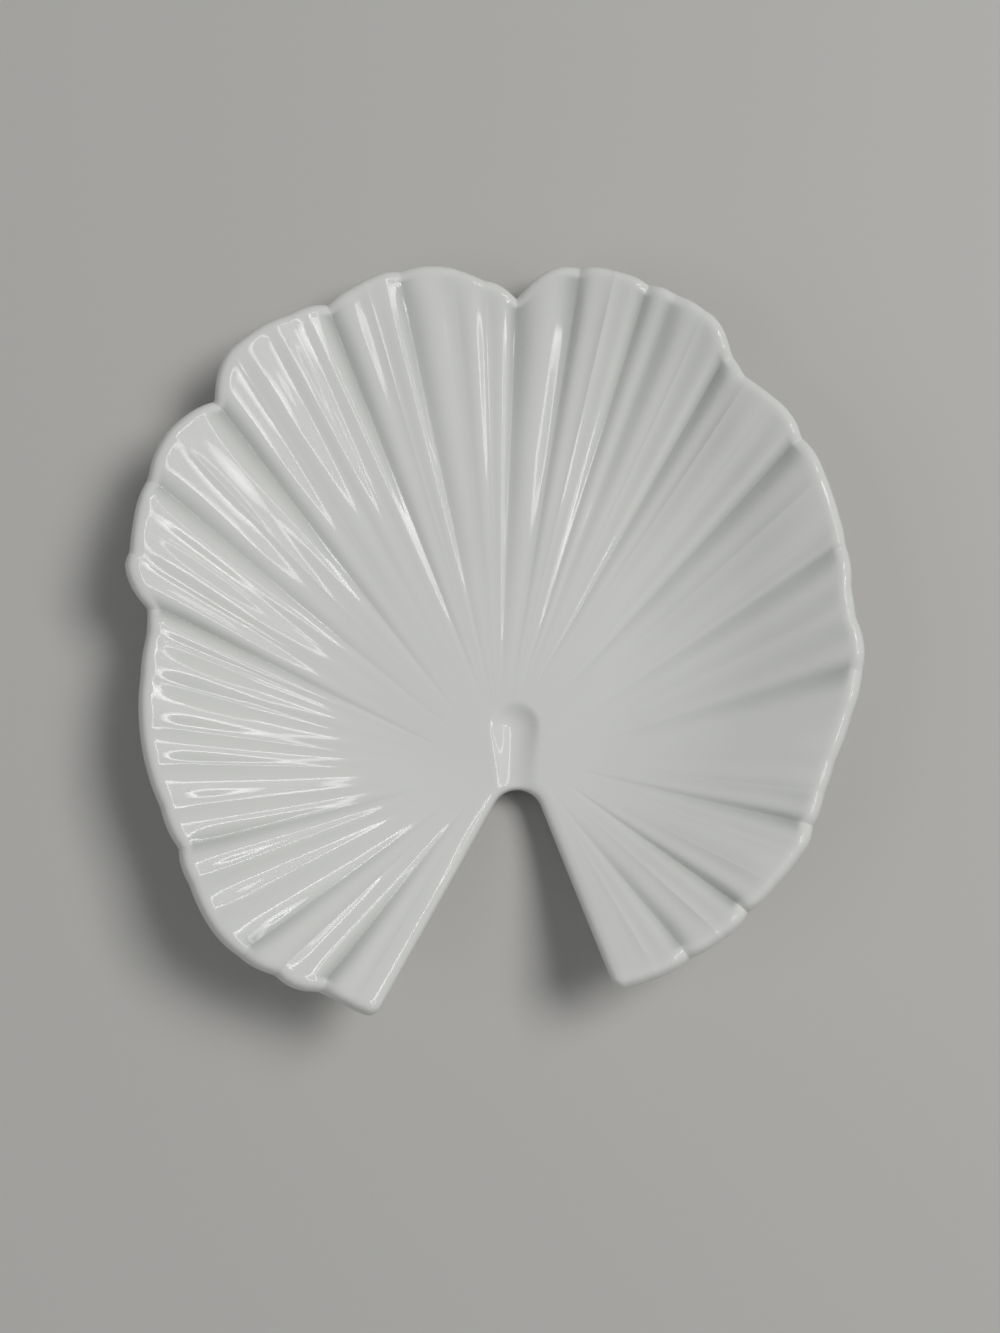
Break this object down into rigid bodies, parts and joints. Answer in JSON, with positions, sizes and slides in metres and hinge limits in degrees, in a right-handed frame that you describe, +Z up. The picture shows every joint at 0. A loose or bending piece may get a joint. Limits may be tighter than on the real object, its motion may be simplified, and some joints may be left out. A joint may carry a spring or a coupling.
{
  "type": "ring dish",
  "caption": "Shallow pleated leaf-shaped ring dish in glossy white glazed ceramic, with a scalloped rim, a notch at the stalk end and a low foot ring.",
  "frame": {"origin": "centre of the foot ring's standing face, on the table", "axes": "+Z up out of the dish, +Y away from the notch along the leaf, +X to the right as seen from above with the notch towards the viewer"},
  "size_m": [0.1191, 0.124, 0.0213],
  "materials": {
    "clay": "bare fired white clay, matt and fine-grained",
    "glaze": "glossy white glaze, faintly cool, a little thicker in the valleys"
  },
  "bodies": {
    "root": {"clay_leaf": "clay", "foot_ring": "clay", "leaf_glaze": "glaze", "well_glaze": "glaze"}
  },
  "joints": []
}
